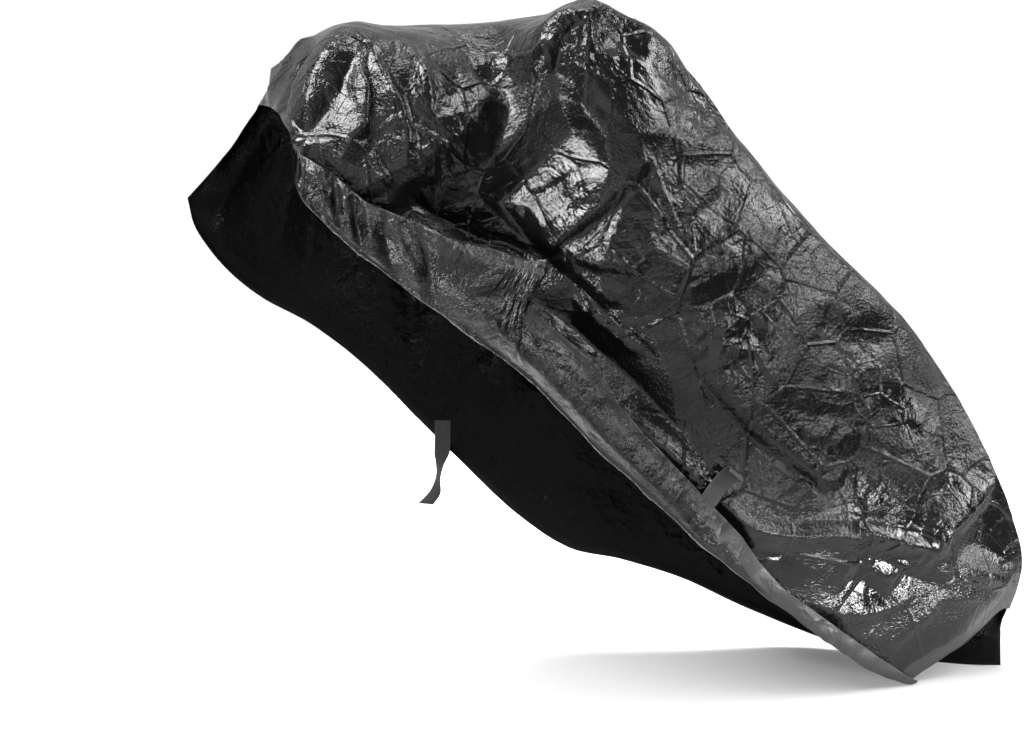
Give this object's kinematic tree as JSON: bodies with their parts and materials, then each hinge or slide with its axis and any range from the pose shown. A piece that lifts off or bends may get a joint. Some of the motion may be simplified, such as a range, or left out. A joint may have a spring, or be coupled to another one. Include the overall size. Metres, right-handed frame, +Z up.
{
  "type": "bicycle cover",
  "caption": "Black coated cloth cover as it hangs over a bicycle, front pushed back over the bar and one side turned up in a cuff, with webbing straps at its hems.",
  "frame": {"origin": "the spot under the cover's highest point where the top rests on what it covers", "axes": "+Z up, +X to the back of the covered bicycle, +Y to its far side, away from the turned-up cuff"},
  "size_m": [1.6971, 0.6014, 1.3121],
  "materials": {
    "coated_cloth": "gloss black coated woven tape, creased",
    "webbing": "matt dark grey webbing"
  },
  "bodies": {
    "root": {"cover": "coated_cloth", "near_strap": "webbing", "far_strap": "webbing"}
  },
  "joints": []
}
